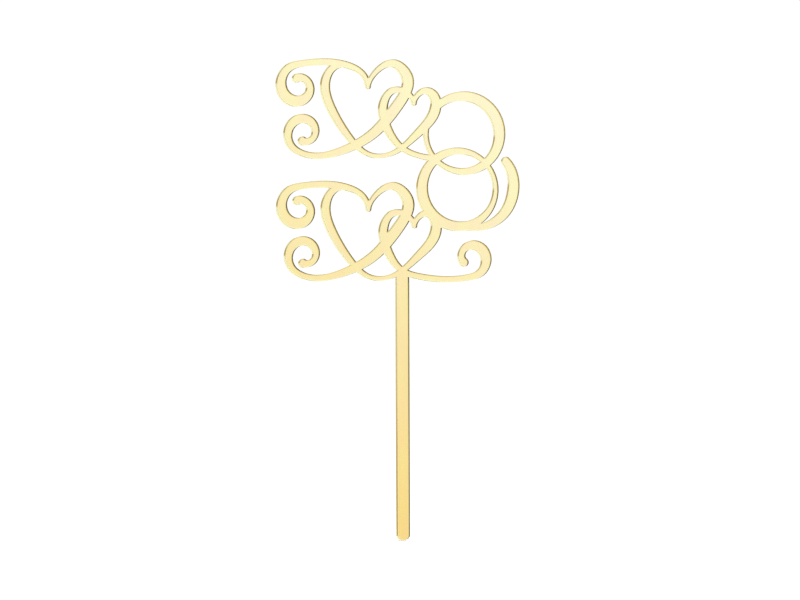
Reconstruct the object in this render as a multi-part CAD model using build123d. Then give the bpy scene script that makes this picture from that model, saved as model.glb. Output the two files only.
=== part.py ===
from build123d import *
import os
from math import cos, radians, sin

# A flat cake topper, laser cut as one blank from gold mirror acrylic: two tiers of interlaced hearts with
# scrolled ends, held together at the right by a pair of linked rings, over one long stick for the cake.
# The sheet stands in the XZ plane with its face to -Y. The origin is the tip of the stick, in the middle
# of the sheet's thickness. Sizes are in millimetres.

# Layers of the sheet, from the face to the back
acrylic_thickness = 2.9
film_thickness = 0.05
lacquer_thickness = 0.05

# Stick
stick_width = 6.9
tip_height = 2.4  # of the rounded tip
stick_length = 140.0  # from the tip to the base line of the lower hearts
root_shoulder = 1.6  # how far the stick's edges run up past that base line
root_point = 4.0  # how far its pointed middle does

# Pen line that the ornament is drawn with
light_line = 2.5
heavy_line = 6.0
drop_line = 4.6  # width of the round drop that ends a scroll

# Hearts, measured on the middle of the line
big_heart_width = 44.5
big_heart_height = 47.8
small_heart_width = 28.5
small_heart_height = 33.5
heart_overlap = 13.0  # how far the small heart reaches into the big one
tier_pitch = 64.8  # from the lower hearts to the upper ones

# Scrolls at the left of each tier, and the curl at the lower right
top_scroll_radius = 12.5
top_scroll_reach = 14.5  # from the big heart's left side to the scroll's centre
foot_scroll_radius = 11.0
foot_scroll_reach = 11.5
scroll_eye = 4.6  # radius at which every scroll ends
curl_radius = 10.5
curl_reach = 37.2  # from the stick's middle to the curl's centre

# Angles at which each scroll starts and ends
top_scroll_sweep = (80, 465)
foot_scroll_sweep = (262, -105)
curl_sweep = (-95, 215)

# Linked rings, and the swash that leaves the lower one
ring_diameter = 44.0
swash_reach = 30.1  # from the lower ring's centre to the swash's outermost point
swash_rise = 37.0  # from the lower ring's lowest point to the swash's end

# Angles on each ring: where it meets its heart, where its line is heaviest, where a line runs into it
lower_ring_meets_heart = 230
upper_ring_meets_heart = 142
lower_ring_heavy = 205
upper_ring_heavy = 25
tail_joins_ring = (125, 105)
swash_leaves_ring = (258, 280)

sheet_thickness = acrylic_thickness + film_thickness + lacquer_thickness
lower_base = stick_length
upper_base = lower_base + tier_pitch

# The small heart's foot stands over the stick, and the big heart reaches into the small one
foot_share = 0.345
small_heart_left = -foot_share * small_heart_width
big_heart_left = small_heart_left + heart_overlap - big_heart_width

# A ring's line is heavy on one side and light on the other
ring_line = (light_line + heavy_line) / 2
ring_offset = (heavy_line - light_line) / 2
ring_middle_radius = (ring_diameter - ring_line) / 2


# Width of the line, from light at a press of 0 to heavy at 1
def line_width(press):
    return light_line + press * (heavy_line - light_line)


# Pen points from rows of across, up and press, where across and up are shares of the heart's box
def heart_points(left, base, width, height, rows):
    return [(left + across * width, base + up * height, line_width(press)) for across, up, press in rows]


def big_heart(base, rows):
    return heart_points(big_heart_left, base, big_heart_width, big_heart_height, rows)


def small_heart(base, rows):
    return heart_points(small_heart_left, base, small_heart_width, small_heart_height, rows)


# Pen points that wind in on a spiral: the line swells, thins again and ends in a drop
scroll_press = [0.3, 0.5, 0.75, 0.95, 1.0, 0.9, 0.7, 0.5, 0.4, 0.45]


def scroll_points(centre_x, centre_z, outer_radius, sweep, swell):
    start_angle, end_angle = sweep
    widths = [line_width(swell * press) for press in scroll_press] + [drop_line]
    points = []
    for step, width in enumerate(widths):
        share = step / (len(widths) - 1)
        radius = outer_radius * (scroll_eye / outer_radius) ** share
        angle = radians(start_angle + share * (end_angle - start_angle))
        points.append((centre_x + radius * cos(angle), centre_z + radius * sin(angle), width))
    return points


# One pen stroke as a face: two side curves along a middle curve, with round ends
def pen_stroke(points):
    middle = Spline(*[(x, z) for x, z, width in points])
    left_side = []
    right_side = []
    for x, z, width in points:
        along = middle.tangent_at((x, z))
        across = Vector(-along.Y, along.X) * (width / 2)
        left_side.append(Vector(x, z) + across)
        right_side.append(Vector(x, z) - across)
    start_x, start_z, start_width = points[0]
    end_x, end_z, end_width = points[-1]
    start_tip = Vector(start_x, start_z) - (middle % 0) * (start_width / 2)
    end_tip = Vector(end_x, end_z) + (middle % 1) * (end_width / 2)
    edges = [
        Spline(*left_side),
        ThreePointArc(left_side[-1], end_tip, right_side[-1]),
        Spline(*reversed(right_side)),
        ThreePointArc(right_side[0], start_tip, left_side[0]),
    ]
    return make_face(edges)


# Two points of the small heart's right lobe, where the rings run through it
lobe_side = (0.98, 0.70, 0.9)
lobe_top = (0.95, 0.93, 0.7)


# One tier: the big heart with its two scrolls, the small heart through it, and the tail that is handed in
def tier_strokes(base, tail):
    right_side = big_heart(base, [(0.52, 0.74, 0.0), (0.62, 0.91, 0.1), (0.83, 1.0, 0.5), (1.0, 0.84, 1.0),
                                  (0.88, 0.54, 1.0), (0.56, 0.21, 0.8), (0.22, 0.04, 0.5)])
    foot_scroll = scroll_points(big_heart_left - foot_scroll_reach, base + foot_scroll_radius,
                                foot_scroll_radius, foot_scroll_sweep, 0.7)
    left_lobe = big_heart(base, [(0.52, 0.74, 0.0), (0.44, 0.90, 0.1), (0.24, 0.985, 0.3)])
    top_scroll = scroll_points(big_heart_left - top_scroll_reach, base + big_heart_height - top_scroll_radius,
                               top_scroll_radius, top_scroll_sweep, 1.0)
    left_side = big_heart(base, [(0.24, 0.985, 0.1), (0.08, 0.94, 0.4), (0.0, 0.80, 0.65), (0.07, 0.50, 0.6),
                                 (0.29, 0.18, 0.3), (0.54, -0.01, 0.0)])
    small_right = small_heart(base, [(0.16, 0.01, 0.0), (0.64, 0.32, 0.5), lobe_side, lobe_top,
                                     (0.80, 1.0, 0.3), (0.66, 0.94, 0.1), (0.58, 0.80, 0.0)])
    small_left = small_heart(base, [(0.58, 0.80, 0.0), (0.44, 0.97, 0.1), (0.18, 1.0, 0.3), (0.0, 0.79, 0.6),
                                    (0.07, 0.41, 0.55), (foot_share, 0.10, 0.2)])
    return [
        pen_stroke(right_side + foot_scroll),
        pen_stroke(left_lobe + top_scroll),
        pen_stroke(left_side + small_right),
        pen_stroke(small_left + tail),
    ]


# Each ring's middle line runs through the right lobe of its tier's small heart, at the angle given
def ring_centre(base, lobe_row, angle):
    lobe_x, lobe_z, lobe_width = small_heart(base, [lobe_row])[0]
    centre_x = lobe_x - ring_middle_radius * cos(radians(angle))
    centre_z = lobe_z - ring_middle_radius * sin(radians(angle))
    return Vector(centre_x, centre_z)


def ring(centre, heavy_angle):
    inner_x = centre.X - ring_offset * cos(radians(heavy_angle))
    inner_z = centre.Y - ring_offset * sin(radians(heavy_angle))
    outer_face = Pos(centre.X, centre.Y) * Circle(ring_diameter / 2)
    inner_face = Pos(inner_x, inner_z) * Circle(ring_diameter / 2 - ring_line)
    return outer_face - inner_face


# A pen point whose line lies along the ring's outer edge
def point_on_ring(centre, angle, press):
    width = line_width(press)
    radius = (ring_diameter - width) / 2
    return (centre.X + radius * cos(radians(angle)), centre.Y + radius * sin(radians(angle)), width)


lower_ring = ring_centre(lower_base, lobe_top, lower_ring_meets_heart)
upper_ring = ring_centre(upper_base, lobe_side, upper_ring_meets_heart)

# The upper tail runs on to the lower ring, and the lower tail ends in the curl
upper_tail = small_heart(upper_base, [(0.70, -0.03, 0.1)])
upper_tail += [point_on_ring(lower_ring, angle, 0.25) for angle in tail_joins_ring]
lower_tail = small_heart(lower_base, [(0.70, 0.0, 0.2)])
lower_tail += scroll_points(curl_reach, lower_base + curl_radius, curl_radius, curl_sweep, 0.9)

swash_tip = lower_ring.X + swash_reach
swash_base = lower_ring.Y - ring_diameter / 2
swash = [point_on_ring(lower_ring, angle, 0.2) for angle in swash_leaves_ring]
swash += [
    (swash_tip - 0.52 * swash_reach, swash_base + 0.07 * swash_rise, line_width(0.4)),
    (swash_tip - 0.17 * swash_reach, swash_base + 0.25 * swash_rise, line_width(0.8)),
    (swash_tip, swash_base + 0.57 * swash_rise, line_width(1.0)),
    (swash_tip - 0.02 * swash_reach, swash_base + 0.84 * swash_rise, line_width(0.8)),
    (swash_tip - 0.13 * swash_reach, swash_base + swash_rise, drop_line),
]

# The stick has a round tip, and its root is hidden where the small heart's two lines cross
stick_left = -stick_width / 2
stick_right = stick_width / 2
stick_sides = Polyline(
    (stick_left, tip_height),
    (stick_left, lower_base + root_shoulder),
    (0, lower_base + root_point),
    (stick_right, lower_base + root_shoulder),
    (stick_right, tip_height),
)
stick_tip = ThreePointArc(stick_sides @ 1, (0, 0), stick_sides @ 0)
stick = make_face([stick_sides, stick_tip])

strokes = tier_strokes(lower_base, lower_tail)
strokes += tier_strokes(upper_base, upper_tail)
strokes += [ring(lower_ring, lower_ring_heavy), ring(upper_ring, upper_ring_heavy), pen_stroke(swash), stick]
outline = Sketch() + strokes


# One layer of the sheet, from its front towards the back
def layer(front, thickness):
    back_plane = Plane.XZ.offset(-front - thickness)
    return extrude(back_plane * outline, amount=thickness)


acrylic_front = -sheet_thickness / 2
film_front = acrylic_front + acrylic_thickness
lacquer_front = film_front + film_thickness
os.makedirs("parts", exist_ok=True)
export_step(layer(acrylic_front, acrylic_thickness), "parts/acrylic_sheet.step")
export_step(layer(film_front, film_thickness), "parts/mirror_film.step")
export_step(layer(lacquer_front, lacquer_thickness), "parts/back_lacquer.step")
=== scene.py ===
import math

import bmesh
import bpy
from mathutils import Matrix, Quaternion, Vector


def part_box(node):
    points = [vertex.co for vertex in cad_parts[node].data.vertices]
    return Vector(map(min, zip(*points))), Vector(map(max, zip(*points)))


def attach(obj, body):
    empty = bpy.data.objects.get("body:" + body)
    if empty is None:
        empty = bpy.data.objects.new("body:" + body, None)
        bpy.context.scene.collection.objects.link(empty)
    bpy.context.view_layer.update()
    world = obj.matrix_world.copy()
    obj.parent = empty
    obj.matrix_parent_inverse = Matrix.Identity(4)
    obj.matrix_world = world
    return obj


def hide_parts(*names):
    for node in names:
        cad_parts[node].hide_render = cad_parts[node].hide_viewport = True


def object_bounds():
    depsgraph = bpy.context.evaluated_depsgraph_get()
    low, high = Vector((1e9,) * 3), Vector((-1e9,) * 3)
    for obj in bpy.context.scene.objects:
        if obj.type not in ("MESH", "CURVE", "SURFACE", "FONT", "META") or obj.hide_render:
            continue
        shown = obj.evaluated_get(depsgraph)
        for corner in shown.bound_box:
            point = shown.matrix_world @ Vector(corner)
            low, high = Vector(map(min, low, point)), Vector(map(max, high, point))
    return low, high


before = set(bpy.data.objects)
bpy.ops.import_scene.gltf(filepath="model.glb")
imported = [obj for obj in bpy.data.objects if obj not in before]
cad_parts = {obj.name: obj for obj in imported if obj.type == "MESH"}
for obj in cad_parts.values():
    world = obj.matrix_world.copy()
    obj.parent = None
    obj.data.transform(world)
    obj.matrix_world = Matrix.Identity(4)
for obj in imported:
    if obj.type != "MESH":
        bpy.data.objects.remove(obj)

cadLow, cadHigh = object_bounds()
scene = bpy.context.scene
scene.view_settings.view_transform = "Standard"
mm = 0.001
print("frame loaded:", ", ".join(sorted(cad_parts)))


# A node's inputs, given as values or as sockets to link from
def setInputs(tree, node, inputs):
    for key, value in inputs.items():
        if isinstance(value, bpy.types.NodeSocket):
            tree.links.new(value, node.inputs[key])
        else:
            node.inputs[key].default_value = value


# The settings come first, because some of them change which inputs a node has
def addNode(tree, kind, inputs=None, **settings):
    node = tree.nodes.new(kind)
    for name, value in settings.items():
        setattr(node, name, value)
    setInputs(tree, node, inputs or {})
    return node


def mathNode(tree, operation, first, second):
    return addNode(tree, "ShaderNodeMath", {0: first, 1: second}, operation=operation).outputs[0]


def scaledVector(tree, vector, factor):
    inputs = {0: vector, "Scale": factor}
    return addNode(tree, "ShaderNodeVectorMath", inputs, operation="SCALE").outputs[0]


# Camera, as the photograph sees it: a little from the right and from above
cameraValues = {
    "lens": 400.0,
    "distance": 4.696,
    "azimuth": 13.4,
    "elevation": 3.5,
    "roll": -0.21,
    "target": (-0.00125, 0.0, 0.1276),
    "farthest": 60.0,
}


def addCamera(values):
    azimuth, elevation = math.radians(values["azimuth"]), math.radians(values["elevation"])
    back = Vector((math.sin(azimuth) * math.cos(elevation), -math.cos(azimuth) * math.cos(elevation),
                   math.sin(elevation)))
    data = bpy.data.cameras.new("photoCamera")
    data.lens = values["lens"]
    data.clip_end = values["farthest"]
    camera = bpy.data.objects.new("photoCamera", data)
    camera.location = Vector(values["target"]) + back * values["distance"]
    roll = Quaternion((0, 0, 1), math.radians(values["roll"]))
    camera.rotation_euler = ((-back).to_track_quat("-Z", "Y") @ roll).to_euler()
    scene.collection.objects.link(camera)
    scene.camera = camera


addCamera(cameraValues)
print("camera placed")


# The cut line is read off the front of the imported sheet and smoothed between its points
cutLineValues = {
    "weld": 0.001 * mm,
    "frontFacing": -0.99,  # a front face's normal has its Y below this
    "cuts": 2,  # new points on each curved run
    "shortRun": 0.3 * mm,  # shorter runs are left as they are
    "straightRun": 6 * mm,  # longer runs are straight
    "endStrip": 0.1 * mm,  # length at each end of a straight run in which its shading may turn
    "cornerTurn": 28,  # degrees; sharper turns stay corners
    "longestMitre": 2.0,
}


def readLoops(nodeName, values):
    bm = bmesh.new()
    bm.from_mesh(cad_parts[nodeName].data)
    bmesh.ops.remove_doubles(bm, verts=bm.verts, dist=values["weld"])
    bm.normal_update()

    def isFront(face):
        return face.normal.y <= values["frontFacing"]

    following = {}
    for face in filter(isFront, bm.faces):
        for loop in face.loops:
            if sum(isFront(other) for other in loop.edge.link_faces) == 1:  # the front ends at this edge
                following[loop.vert] = loop.link_loop_next.vert
    loops = []
    for first in sorted(following, key=lambda vert: vert.index):
        vert, points = first, []
        while vert in following:
            points.append(Vector((vert.co.x, vert.co.z)))
            vert = following.pop(vert)
        if points:
            loops.append(points)
    bm.free()
    return loops


# The ways in which a smooth line arrives at each point and leaves it; they differ only at a corner
def pointDirections(runs, values):
    arriving, leaving = [], []
    for i, after in enumerate(runs):
        before = runs[i - 1]
        if math.degrees(before.angle(after)) > values["cornerTurn"]:
            arriving.append(before.normalized())
            leaving.append(after.normalized())
            continue
        longer = before if before.length > after.length else after
        if longer.length > values["straightRun"]:
            along = longer.normalized()
        else:
            along = before.normalized() * after.length + after.normalized() * before.length
            along.normalize()
        arriving.append(along)
        leaving.append(along)
    return arriving, leaving


# A point of the smooth curve from start to end, at a share t of the way
def curvePoint(start, end, leaving, arriving, t):
    length = (end - start).length
    return (start * (1 + 2 * t) * (1 - t) ** 2 + end * t * t * (3 - 2 * t)
            + leaving * length * t * (1 - t) ** 2 - arriving * length * t * t * (1 - t))


# Short runs become smooth curves; corners and long straight runs stay as they are
def smoothLoop(points, values):
    ends = points[1:] + points[:1]
    runs = [end - start for start, end in zip(points, ends)]
    arriving, leaving = pointDirections(runs, values)
    arrivingAtEnd = arriving[1:] + arriving[:1]
    shares = [cut / (values["cuts"] + 1) for cut in range(1, values["cuts"] + 1)]
    smooth = []
    for i, run in enumerate(runs):
        start, end = points[i], ends[i]
        smooth.append(start)
        if run.length >= values["straightRun"]:
            strip = run.normalized() * values["endStrip"]
            smooth += [start + strip, end - strip]
        elif run.length > values["shortRun"]:
            smooth += [curvePoint(start, end, leaving[i], arrivingAtEnd[i], share) for share in shares]
    for point in smooth:  # never outside the CAD box
        point.x = min(max(point.x, cadLow.x), cadHigh.x)
        point.y = min(max(point.y, cadLow.z), cadHigh.z)
    return smooth


# The cut line lies flat, with the way out of the sheet kept at each point
def cutLineMesh(loops, values):
    verts, edges, outward = [], [], []
    for points in loops:
        first, count = len(verts), len(points)
        for i, point in enumerate(points):
            before = (point - points[i - 1]).normalized()
            after = (points[(i + 1) % count] - point).normalized()
            out = Vector((before.y + after.y, -before.x - after.x))
            mitre = 2 / max(out.length, 2 / values["longestMitre"])
            out = out.normalized() * mitre
            verts.append((point.x, point.y, 0))
            outward.append((out.x, out.y, 0))
            edges.append((first + i, first + (i + 1) % count))
    mesh = bpy.data.meshes.new("cutLine")
    mesh.from_pydata(verts, edges, [])
    wayOut = mesh.attributes.new("wayOut", "FLOAT_VECTOR", "POINT")
    for item, value in zip(wayOut.data, outward):
        item.vector = value
    return mesh


cutLoops = [smoothLoop(points, cutLineValues) for points in readLoops("acrylic_sheet", cutLineValues)]
cutLine = cutLineMesh(cutLoops, cutLineValues)
print("cut line:", len(cutLoops), "loops,", len(cutLine.vertices), "points")


# Named sockets of a node group, each with its kind
def addSockets(tree, inOut, sockets):
    for name, kind in sockets.items():
        tree.interface.new_socket(name, in_out=inOut, socket_type="NodeSocket" + kind)


def readAttribute(tree, name, kind):
    return addNode(tree, "GeometryNodeInputNamedAttribute", {"Name": name}, data_type=kind).outputs[0]


def storeAttribute(tree, inputs, kind, domain):
    node = addNode(tree, "GeometryNodeStoreNamedAttribute", inputs, data_type=kind, domain=domain)
    return node.outputs[0]


# Geometry Nodes: one step of the edge's profile, inwards and forwards, with how near the rim it ends
def makeProfileStep():
    tree = bpy.data.node_groups.new("profileStep", "GeometryNodeTree")
    addSockets(tree, "INPUT", {"Sheet": "Geometry", "Top": "Bool"})
    addSockets(tree, "INPUT", {"Inwards": "Float", "Forwards": "Float", "Rim": "Float"})
    addSockets(tree, "OUTPUT", {"Sheet": "Geometry", "Top": "Bool", "Side": "Bool"})
    given = addNode(tree, "NodeGroupInput").outputs
    raised = addNode(tree, "GeometryNodeExtrudeMesh",
                     {"Mesh": given["Sheet"], "Selection": given["Top"], "Offset Scale": 0.0,
                      "Individual": False}, mode="FACES").outputs
    wayOut = readAttribute(tree, "wayOut", "FLOAT_VECTOR")
    inwards = scaledVector(tree, wayOut, mathNode(tree, "MULTIPLY", given["Inwards"], -1.0))
    forwards = addNode(tree, "ShaderNodeCombineXYZ", {"Z": given["Forwards"]}).outputs[0]
    offset = addNode(tree, "ShaderNodeVectorMath", {0: inwards, 1: forwards}, operation="ADD").outputs[0]
    moved = addNode(tree, "GeometryNodeSetPosition",
                    {"Geometry": raised["Mesh"], "Selection": raised["Top"], "Offset": offset}).outputs[0]
    marked = storeAttribute(tree, {"Geometry": moved, "Selection": raised["Top"], "Name": "rim",
                                   "Value": given["Rim"]}, "FLOAT", "POINT")
    addNode(tree, "NodeGroupOutput", {"Sheet": marked, "Top": raised["Top"], "Side": raised["Side"]})
    return tree


# Geometry Nodes: one layer of the sheet, from its cut line to a closed solid with rounded edges
layerInputs = {
    "Cut Line": "Geometry",
    "Thickness": "Float",
    "Back": "Float",
    "Inset": "Float",
    "Front Radius": "Float",
    "Back Radius": "Float",
    "Wall Strip": "Float",
    "Rim Band": "Float",
    "Face Finish": "Material",
    "Edge Finish": "Material",
}
roundSteps = 4  # in each rounded edge
mergeDistance = 0.0005 * mm


def makeLayerTree():
    stepTree = makeProfileStep()
    tree = bpy.data.node_groups.new("sheetLayer", "GeometryNodeTree")
    addSockets(tree, "INPUT", layerInputs)
    addSockets(tree, "OUTPUT", {"Layer": "Geometry"})
    given = addNode(tree, "NodeGroupInput").outputs

    # One more step on top of the last one
    def nextStep(last, inwards, forwards, rim):
        inputs = {"Sheet": last["Sheet"], "Top": last["Top"], "Inwards": inwards, "Forwards": forwards,
                  "Rim": rim}
        made = addNode(tree, "GeometryNodeGroup", inputs, node_tree=stepTree).outputs
        return {name: made[name] for name in ("Sheet", "Top", "Side")}

    # A rounded edge, each step a share of the radius inwards and forwards
    def roundEdge(last, radius, shares):
        for inwards, forwards in shares:
            last = nextStep(last, mathNode(tree, "MULTIPLY", radius, inwards),
                            mathNode(tree, "MULTIPLY", radius, forwards), 1.0)
        return last

    # The flat sheet inside the cut line, drawn in to where the back's flat part ends
    curve = addNode(tree, "GeometryNodeMeshToCurve", {"Mesh": given["Cut Line"]}).outputs[0]
    flat = addNode(tree, "GeometryNodeFillCurve", {"Curve": curve}, mode="TRIANGLES").outputs[0]
    nearest = addNode(tree, "GeometryNodeSampleNearest", {"Geometry": given["Cut Line"]},
                      domain="POINT").outputs[0]
    wayOut = readAttribute(tree, "wayOut", "FLOAT_VECTOR")
    sampled = addNode(tree, "GeometryNodeSampleIndex",
                      {"Geometry": given["Cut Line"], "Value": wayOut, "Index": nearest},
                      data_type="FLOAT_VECTOR", domain="POINT").outputs[0]
    kept = storeAttribute(tree, {"Geometry": flat, "Name": "wayOut", "Value": sampled},
                          "FLOAT_VECTOR", "POINT")
    drawnIn = mathNode(tree, "ADD", given["Inset"], given["Back Radius"])
    drawnIn = mathNode(tree, "ADD", drawnIn, given["Rim Band"])
    inset = scaledVector(tree, wayOut, mathNode(tree, "MULTIPLY", drawnIn, -1.0))
    base = addNode(tree, "GeometryNodeSetPosition", {"Geometry": kept, "Offset": inset}).outputs[0]
    cap = addNode(tree, "GeometryNodeFlipFaces", {"Mesh": base}).outputs[0]

    # Out along the back, round its edge, up the cut wall, round the front edge and in along the front
    angles = [math.radians(90 * i / roundSteps) for i in range(roundSteps + 1)]
    arc = [(math.sin(high) - math.sin(low), math.cos(low) - math.cos(high))
           for low, high in zip(angles, angles[1:])]
    outwards = mathNode(tree, "MULTIPLY", given["Rim Band"], -1.0)
    sheet = nextStep({"Sheet": base, "Top": True}, outwards, 0.0, 1.0)
    sheet = roundEdge(sheet, given["Back Radius"], [(-along, turned) for along, turned in arc])
    rounds = mathNode(tree, "ADD", given["Front Radius"], given["Back Radius"])
    straight = mathNode(tree, "SUBTRACT", given["Thickness"], rounds)
    wall = mathNode(tree, "SUBTRACT", straight, given["Wall Strip"])
    for height in (wall, given["Wall Strip"]):  # the narrow strip keeps the wall's shading flat
        sheet = nextStep(sheet, 0.0, height, 1.0)
        sheet["Sheet"] = storeAttribute(tree, {"Geometry": sheet["Sheet"], "Selection": sheet["Side"],
                                               "Name": "cutWall", "Value": True}, "BOOLEAN", "FACE")
    sheet = roundEdge(sheet, given["Front Radius"], [(turned, along) for along, turned in arc])
    sheet = nextStep(sheet, given["Rim Band"], 0.0, 0.0)

    # Closed, stood up with the face to -Y, and given its finishes
    joined = addNode(tree, "GeometryNodeJoinGeometry")
    for part in (sheet["Sheet"], cap):
        tree.links.new(part, joined.inputs[0])
    closed = addNode(tree, "GeometryNodeMergeByDistance",
                     {"Geometry": joined.outputs[0], "Distance": mergeDistance}).outputs[0]
    place = addNode(tree, "ShaderNodeCombineXYZ", {"Y": given["Back"]}).outputs[0]
    stood = addNode(tree, "GeometryNodeTransform",
                    {"Geometry": closed, "Translation": place,
                     "Rotation": (math.radians(90), 0, 0)}).outputs[0]
    realized = addNode(tree, "GeometryNodeRealizeInstances", {"Geometry": stood}).outputs[0]
    faces = addNode(tree, "GeometryNodeSetMaterial",
                    {"Geometry": realized, "Material": given["Face Finish"]}).outputs[0]
    isWall = readAttribute(tree, "cutWall", "BOOLEAN")
    edges = addNode(tree, "GeometryNodeSetMaterial",
                    {"Geometry": faces, "Selection": isWall, "Material": given["Edge Finish"]}).outputs[0]
    addNode(tree, "NodeGroupOutput", {"Layer": edges})
    return tree


layerTree = makeLayerTree()
print("layer tree made")

# Shading of a finished layer: its two flat faces stay flat, and its sharp edges stay sharp
shadingValues = {
    "flatFacing": 0.999,  # a flat face looks this nearly straight to the front or the back
    "sharpTurn": 35,  # degrees
}


def makeLayer(name, values, shading):
    worker = bpy.data.objects.new(name + "Worker", cutLine)
    scene.collection.objects.link(worker)
    modifier = worker.modifiers.new("layer", "NODES")
    modifier.node_group = layerTree
    for item in layerTree.interface.items_tree:
        if item.in_out == "INPUT" and item.name in values:
            modifier[item.identifier] = values[item.name]
    evaluated = worker.evaluated_get(bpy.context.evaluated_depsgraph_get())
    mesh = bpy.data.meshes.new_from_object(evaluated)
    mesh.name = name
    bpy.data.objects.remove(worker)
    for attribute in ("wayOut", "cutWall"):
        mesh.attributes.remove(mesh.attributes[attribute])
    for polygon in mesh.polygons:
        polygon.use_smooth = abs(polygon.normal.y) < shading["flatFacing"]
    mesh.set_sharp_from_angle(angle=math.radians(shading["sharpTurn"]))
    piece = bpy.data.objects.new(name, mesh)
    scene.collection.objects.link(piece)
    return piece


# From 0 where the value is at start to 1 where it is at end
def fade(tree, value, start, end, easing="LINEAR"):
    inputs = {"Value": value, "From Min": start, "From Max": end}
    return addNode(tree, "ShaderNodeMapRange", inputs, interpolation_type=easing).outputs[0]


# From low where the value is 0 to high where it is 1
def mapTo(tree, value, low, high):
    inputs = {"Value": value, "To Min": low, "To Max": high}
    return addNode(tree, "ShaderNodeMapRange", inputs).outputs[0]


def mixColours(tree, share, first, second, blending="MIX"):
    inputs = {0: share, 6: first, 7: second}
    return addNode(tree, "ShaderNodeMix", inputs, data_type="RGBA", blend_type=blending).outputs[2]


# Noise with features of a given size
def addNoise(tree, vector, size, detail):
    inputs = {"Vector": vector, "Scale": mathNode(tree, "DIVIDE", 1.0, size), "Detail": detail}
    return addNode(tree, "ShaderNodeTexNoise", inputs).outputs[0]


# Shared effects, with their usual inputs
def makeEffect(name, inputs, outputs):
    tree = bpy.data.node_groups.new(name, "ShaderNodeTree")
    for label, value in inputs.items():
        socket = tree.interface.new_socket(label, in_out="INPUT", socket_type="NodeSocketFloat")
        socket.default_value = value
    addSockets(tree, "OUTPUT", dict.fromkeys(outputs, "Float"))
    return tree, addNode(tree, "NodeGroupInput").outputs


# Slow cloudiness, drawn out upwards where it is stretched, and fine grain, both from 0 to 1
mottleValues = {
    "usual": {"Cloud Size": 20 * mm, "Cloud Stretch": 1.0, "Grain Size": 1 * mm},
    "detail": {"Cloud": 3.0, "Grain": 2.0},
    "noiseRange": (0.3, 0.7),  # nearly all of the noise lies here
}


def makeSurfaceMottle(values):
    tree, given = makeEffect("surfaceMottle", values["usual"], ("Cloud", "Grain"))
    place = addNode(tree, "ShaderNodeTexCoord").outputs["Object"]
    upright = mathNode(tree, "DIVIDE", 1.0, given["Cloud Stretch"])
    shape = addNode(tree, "ShaderNodeCombineXYZ", {"X": 1.0, "Y": 1.0, "Z": upright}).outputs[0]
    drawn = addNode(tree, "ShaderNodeVectorMath", {0: place, 1: shape}, operation="MULTIPLY").outputs[0]
    made = {}
    for label, vector in (("Cloud", drawn), ("Grain", place)):
        noise = addNoise(tree, vector, given[label + " Size"], values["detail"][label])
        made[label] = fade(tree, noise, *values["noiseRange"])
    addNode(tree, "NodeGroupOutput", made)
    return tree


# The strip beside the cut, with a broken inner edge
rimValues = {
    "usual": {"Strength": 1.0, "Break Size": 2 * mm},
    "detail": 4.0,
    "leastShare": 0.4,  # of the strip that is left where it is most broken
    "innerEdge": (0.15, 0.95),  # from where it starts to where it is whole
}


def makeCutRim(values):
    tree, given = makeEffect("cutRim", values["usual"], ("Rim",))
    place = addNode(tree, "ShaderNodeTexCoord").outputs["Object"]
    noise = addNoise(tree, place, given["Break Size"], values["detail"])
    rim = addNode(tree, "ShaderNodeAttribute", attribute_name="rim").outputs["Fac"]
    broken = mathNode(tree, "MULTIPLY", rim, mathNode(tree, "ADD", noise, values["leastShare"]))
    soft = fade(tree, broken, *values["innerEdge"], easing="SMOOTHSTEP")
    addNode(tree, "NodeGroupOutput", {"Rim": mathNode(tree, "MULTIPLY", soft, given["Strength"])})
    return tree


surfaceMottle = makeSurfaceMottle(mottleValues)
cutRim = makeCutRim(rimValues)


def placeGroup(tree, group, inputs):
    return addNode(tree, "ShaderNodeGroup", inputs, node_tree=group).outputs


def newMaterial(name):
    material = bpy.data.materials.new(name)
    material.use_nodes = True
    tree = material.node_tree
    tree.nodes.clear()
    shader = addNode(tree, "ShaderNodeBsdfPrincipled")
    addNode(tree, "ShaderNodeOutputMaterial", {"Surface": shader.outputs[0]})
    return material, tree, shader


# Gold-tinted cast acrylic: clear, with a faint wave in its polished face and a band of painted shade beside
# the cut
goldAcrylicValues = {
    "clear": (0.98, 1.0, 0.785, 1),
    "cloudy": (1.0, 0.94, 0.845, 1),
    # rim: painted shade, a darker and yellower band beside the cut that deepens the edge lines
    "rim": (0.88, 0.88, 0.69, 1),
    "refraction": 1.491,
    "tint": (0.99, 0.84, 0.01, 1),
    "tintDensity": 70.0,
    "cloudSize": 5 * mm,
    "cloudStretch": 6.0,
    "waveDepth": 0.003 * mm,
    "roughness": (0.01, 0.035),
    "rimStrength": 1.0,
    "rimBreak": 3 * mm,
    "rimRoughness": 0.06,
}


def makeGoldAcrylic(values):
    material, tree, shader = newMaterial("goldAcrylic")
    cloud = placeGroup(tree, surfaceMottle, {"Cloud Size": values["cloudSize"],
                                             "Cloud Stretch": values["cloudStretch"]})["Cloud"]
    rim = placeGroup(tree, cutRim, {"Strength": values["rimStrength"],
                                    "Break Size": values["rimBreak"]})["Rim"]
    colour = mixColours(tree, cloud, values["clear"], values["cloudy"])
    roughness = mathNode(tree, "ADD", mapTo(tree, cloud, *values["roughness"]),
                         mathNode(tree, "MULTIPLY", rim, values["rimRoughness"]))
    wave = addNode(tree, "ShaderNodeBump", {"Height": cloud, "Strength": 1.0,
                                            "Distance": values["waveDepth"]})
    setInputs(tree, shader, {
        # the band beside the cut takes the painted shade
        "Base Color": mixColours(tree, rim, colour, values["rim"]),
        "Roughness": roughness,
        "Normal": wave.outputs[0],
        "Transmission Weight": 1.0,
        "IOR": values["refraction"],
    })
    tint = addNode(tree, "ShaderNodeVolumeAbsorption", {"Color": values["tint"],
                                                        "Density": values["tintDensity"]})
    setInputs(tree, tree.get_output_node("ALL"), {"Volume": tint.outputs[0]})
    return material
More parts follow.
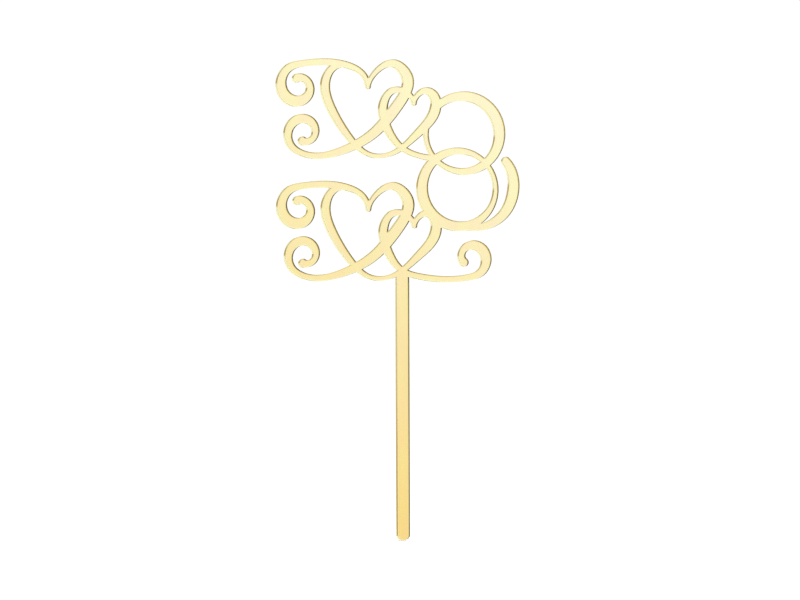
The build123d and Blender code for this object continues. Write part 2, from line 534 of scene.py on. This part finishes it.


# Laser-cut wall: dark amber, partly the acrylic's tint and partly painted shade, with fine lines across the
# thickness, and a mirror to light inside the sheet
cutEdgeValues = {
    # amber and pale: the acrylic's tint darkened with painted shade, in place of the clear edge seen into
    # the sheet
    "amber": (0.088, 0.072, 0.021, 1),
    "pale": (0.143, 0.119, 0.041, 1),
    "inside": (0.80, 0.79, 0.74, 1),
    "lineSize": 0.16 * mm,
    "lineLength": 6 * mm,
    "lineDetail": 3.0,
    "lineDepth": 0.012 * mm,
    "cloudSize": 12 * mm,
    "leastPale": 0.4,  # share of the pale lines where the cloud is thinnest
    "roughness": (0.28, 0.5),
    "insideRoughness": (0.05, 0.12),
    "insideDepth": 0.04,  # of the lines, as seen from inside
}


def makeCutEdge(values):
    material, tree, shader = newMaterial("cutEdge")
    place = addNode(tree, "ShaderNodeTexCoord").outputs["Object"]
    across, along = 1 / values["lineSize"], 1 / values["lineLength"]
    stretched = addNode(tree, "ShaderNodeMapping", {"Vector": place, "Scale": (across, along, across)})
    lines = addNode(tree, "ShaderNodeTexNoise", {"Vector": stretched.outputs[0], "Scale": 1.0,
                                                 "Detail": values["lineDetail"]}).outputs[0]
    cloud = placeGroup(tree, surfaceMottle, {"Cloud Size": values["cloudSize"]})["Cloud"]
    share = mathNode(tree, "MULTIPLY", lines, mathNode(tree, "ADD", cloud, values["leastPale"]))
    inside = addNode(tree, "ShaderNodeNewGeometry").outputs["Backfacing"]
    # outside the wall: amber with painted shade, and paler lines
    outside = mixColours(tree, share, values["amber"], values["pale"])
    rough = mapTo(tree, lines, *values["roughness"])
    polished = mapTo(tree, lines, *values["insideRoughness"])
    bump = addNode(tree, "ShaderNodeBump", {"Height": lines, "Distance": values["lineDepth"],
                                            "Strength": mapTo(tree, inside, 1.0, values["insideDepth"])})
    setInputs(tree, shader, {
        "Base Color": mixColours(tree, inside, outside, values["inside"]),
        "Metallic": inside,
        "Roughness": addNode(tree, "ShaderNodeMix", {0: inside, 2: rough, 3: polished}).outputs[0],
        "Normal": bump.outputs[0],
        "Specular IOR Level": 0.0,
    })
    return material


# Bright aluminium film behind the acrylic
mirrorFilmValues = {
    "bright": (0.972, 0.968, 0.955, 1),
    "dull": (0.955, 0.95, 0.935, 1),
    "cloudSize": 30 * mm,
    "grainSize": 0.8 * mm,
    "roughness": (0.012, 0.04),
}


def makeMirrorFilm(values):
    material, tree, shader = newMaterial("mirrorFilm")
    mottle = placeGroup(tree, surfaceMottle, {"Cloud Size": values["cloudSize"],
                                              "Grain Size": values["grainSize"]})
    setInputs(tree, shader, {
        "Base Color": mixColours(tree, mottle["Cloud"], values["bright"], values["dull"]),
        "Roughness": mapTo(tree, mottle["Grain"], *values["roughness"]),
        "Metallic": 1.0,
    })
    return material


# Sprayed grey lacquer on the back, browned beside the cut
greyLacquerValues = {
    "light": (0.43, 0.43, 0.435, 1),
    "dark": (0.36, 0.36, 0.365, 1),
    "browned": (0.23, 0.18, 0.12, 1),
    "cloudSize": 18 * mm,
    "cloudShare": 0.6,
    "grainSize": 0.7 * mm,
    "grainShare": 0.4,
    "peelDepth": 0.02 * mm,
    "peelStrength": 0.6,
    "roughness": (0.42, 0.58),
    "rimStrength": 0.7,
    "rimBreak": 2.5 * mm,
}


def makeGreyLacquer(values):
    material, tree, shader = newMaterial("greyLacquer")
    mottle = placeGroup(tree, surfaceMottle, {"Cloud Size": values["cloudSize"],
                                              "Grain Size": values["grainSize"]})
    rim = placeGroup(tree, cutRim, {"Strength": values["rimStrength"],
                                    "Break Size": values["rimBreak"]})["Rim"]
    share = mathNode(tree, "ADD", mathNode(tree, "MULTIPLY", mottle["Cloud"], values["cloudShare"]),
                     mathNode(tree, "MULTIPLY", mottle["Grain"], values["grainShare"]))
    coat = mixColours(tree, share, values["light"], values["dark"])
    peel = addNode(tree, "ShaderNodeBump", {"Height": mottle["Grain"], "Strength": values["peelStrength"],
                                            "Distance": values["peelDepth"]})
    setInputs(tree, shader, {
        "Base Color": mixColours(tree, rim, coat, values["browned"]),
        "Roughness": mapTo(tree, mottle["Grain"], *values["roughness"]),
        "Normal": peel.outputs[0],
    })
    return material


goldAcrylic = makeGoldAcrylic(goldAcrylicValues)
cutEdge = makeCutEdge(cutEdgeValues)
mirrorFilm = makeMirrorFilm(mirrorFilmValues)
greyLacquer = makeGreyLacquer(greyLacquerValues)
print("materials made")


# Where the CAD has a layer's front and back
def layerDepth(node):
    low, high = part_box(node)
    return low.y, high.y


# The three layers, from the face to the back
sheetFront, sheetBack = layerDepth("acrylic_sheet")
filmFront, filmBack = layerDepth("mirror_film")
coatFront, coatBack = layerDepth("back_lacquer")

goldSheetValues = {
    "Thickness": sheetBack - sheetFront,
    "Back": sheetBack,
    "Inset": 0.0,
    "Front Radius": 0.08 * mm,
    "Back Radius": 0.0,
    "Wall Strip": 0.05 * mm,
    "Rim Band": 0.45 * mm,
    "Face Finish": goldAcrylic,
    "Edge Finish": cutEdge,
}
bondDepth = 0.01 * mm  # the film is bonded into the acrylic's back
mirrorLayerValues = {
    "Thickness": filmBack - filmFront + bondDepth,
    "Back": filmBack,
    "Inset": 0.004 * mm,
    "Front Radius": 0.0,
    "Back Radius": 0.0,
    "Wall Strip": 0.0,
    "Rim Band": 0.45 * mm,
    "Face Finish": mirrorFilm,
    "Edge Finish": mirrorFilm,
}
backCoatValues = {
    "Thickness": coatBack - coatFront,
    "Back": coatBack,
    "Inset": 0.0,
    "Front Radius": 0.0,
    "Back Radius": 0.03 * mm,
    "Wall Strip": 0.0,
    "Rim Band": 0.45 * mm,
    "Face Finish": greyLacquer,
    "Edge Finish": greyLacquer,
}

for name, values, node, slot in (
    ("goldSheet", goldSheetValues, "acrylic_sheet", "gold_acrylic"),
    ("mirrorLayer", mirrorLayerValues, "mirror_film", "mirror_film"),
    ("backCoat", backCoatValues, "back_lacquer", "grey_lacquer"),
):
    piece = makeLayer(name, values, shadingValues)
    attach(piece, "root")
    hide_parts(node)
    print(name, "made:", len(piece.data.polygons), "faces")
bpy.data.meshes.remove(cutLine)


# White floor, which takes the shadow; reflections see the room round it instead
floorValues = {"size": 24.0, "white": (0.96, 0.96, 0.96, 1), "roughness": 0.9, "lift": 0.12}


def addFloor(values):
    half = values["size"] / 2
    corners = [(-half, -half, 0), (half, -half, 0), (half, half, 0), (-half, half, 0)]
    mesh = bpy.data.meshes.new("floor")
    mesh.from_pydata(corners, [], [(0, 1, 2, 3)])
    material, tree, shader = newMaterial("floorWhite")
    setInputs(tree, shader, {"Base Color": values["white"], "Roughness": values["roughness"],
                             "Specular IOR Level": 0.0})
    seen = addNode(tree, "ShaderNodeLightPath").outputs["Is Camera Ray"]
    strength = mathNode(tree, "MULTIPLY", seen, values["lift"])
    glow = addNode(tree, "ShaderNodeEmission", {"Strength": strength})
    lifted = addNode(tree, "ShaderNodeAddShader", {0: shader.outputs[0], 1: glow.outputs[0]})
    setInputs(tree, tree.get_output_node("ALL"), {"Surface": lifted.outputs[0]})
    mesh.materials.append(material)
    floor = bpy.data.objects.new("floor", mesh)
    floor.visible_glossy = False
    floor.visible_transmission = False
    scene.collection.objects.link(floor)


addFloor(floorValues)

# The room as the mirror sees it: bright high up, white below that, then a warm card low in front, whose top
# rises to the left, and greyer further down. A patch to the right of the camera is darker. Heights and
# sides are the Z and X of the direction looked in.
roomValues = {
    "fill": (0.94, 0.94, 0.94, 1),  # what rough surfaces see
    "top": (1.2, 1.2, 1.2, 1),
    "topFrom": 0.09,
    "white": (1.05, 1.085, 1.16, 1),
    "whiteFrom": -0.034,
    "warm": (1.0, 0.81, 0.478, 1),
    "warmFrom": -0.0865,
    "leftEnd": -0.265,  # of the warm card
    "rightEnd": -0.195,
    "lean": 0.021,  # how far the card rises or drops at its ends
    "leftDusk": (0.60, 0.57, 0.46, 1),
    "rightDusk": (0.89, 0.86, 0.75, 1),
    "duskFrom": -0.21,
    "leftDuskEnd": -0.12,
    "rightDuskEnd": 0.05,
    "shade": (0.58, 0.53, 0.42, 1),
    "shadeLeft": (0.08, 0.16),  # from where the patch starts to where it is darkest
    "shadeRight": (0.42, 0.32),
    "shadeTop": (-0.05, -0.08),
}
plainWhite = (1, 1, 1, 1)


def addRoom(values):
    world = bpy.data.worlds.new("studio")
    world.use_nodes = True
    scene.world = world
    tree = world.node_tree
    tree.nodes.clear()
    path = addNode(tree, "ShaderNodeLightPath").outputs
    direction = addNode(tree, "ShaderNodeTexCoord").outputs["Generated"]
    heading = addNode(tree, "ShaderNodeSeparateXYZ", {0: direction}).outputs

    # The card's lean moves its colours up or down, and ends before the dark patch
    alongCard = fade(tree, heading["X"], values["leftEnd"], values["rightEnd"])
    lean = mathNode(tree, "MULTIPLY", mapTo(tree, alongCard, -values["lean"], values["lean"]),
                    fade(tree, heading["X"], *reversed(values["shadeLeft"])))
    height = mathNode(tree, "ADD", heading["Z"], lean)
    toTop = fade(tree, height, values["whiteFrom"], values["topFrom"])
    toWarm = fade(tree, height, values["whiteFrom"], values["warmFrom"])
    toDusk = fade(tree, heading["Z"], values["warmFrom"], values["duskFrom"])
    toRightDusk = fade(tree, heading["X"], values["leftDuskEnd"], values["rightDuskEnd"])
    dusk = mixColours(tree, toRightDusk, values["leftDusk"], values["rightDusk"])
    card = mixColours(tree, toWarm, values["white"], values["warm"])
    card = mixColours(tree, toDusk, card, dusk)
    card = mixColours(tree, toTop, card, values["top"])

    shaded = fade(tree, heading["Z"], *values["shadeTop"])
    for side in ("shadeLeft", "shadeRight"):
        shaded = mathNode(tree, "MULTIPLY", shaded, fade(tree, heading["X"], *values[side]))
    shade = mixColours(tree, shaded, plainWhite, values["shade"])
    card = mixColours(tree, 1.0, card, shade, "MULTIPLY")

    # The mirror and the acrylic see the card, rough surfaces an even fill, and the camera plain white
    reflected = mathNode(tree, "MAXIMUM", path["Is Glossy Ray"], path["Is Transmission Ray"])
    seen = mixColours(tree, reflected, values["fill"], card)
    shown = mixColours(tree, path["Is Camera Ray"], seen, plainWhite)
    room = addNode(tree, "ShaderNodeBackground", {"Color": shown, "Strength": 1.0})
    addNode(tree, "ShaderNodeOutputWorld", {"Surface": room.outputs[0]})


# A soft box in front and a small light at the upper right, which reflections don't show
lampValues = {
    "softbox": {"power": 7.0, "size": 2.0, "place": (-0.6, -1.2, 2.2), "aim": (0.0, 0.0, 0.12)},
    "sideLight": {"power": 2.0, "size": 0.15, "place": (0.22, -0.1, 0.38), "aim": (0.0, 0.0, 0.2)},
}


def addLamp(name, values):
    data = bpy.data.lights.new(name, "AREA")
    data.energy = values["power"]
    data.size = values["size"]
    lamp = bpy.data.objects.new(name, data)
    lamp.location = values["place"]
    toAim = Vector(values["aim"]) - lamp.location
    lamp.rotation_euler = toAim.to_track_quat("-Z", "Y").to_euler()
    lamp.visible_camera = False
    lamp.visible_glossy = False
    lamp.visible_transmission = False
    scene.collection.objects.link(lamp)


addRoom(roomValues)
for name, values in lampValues.items():
    addLamp(name, values)
print("floor and studio made")
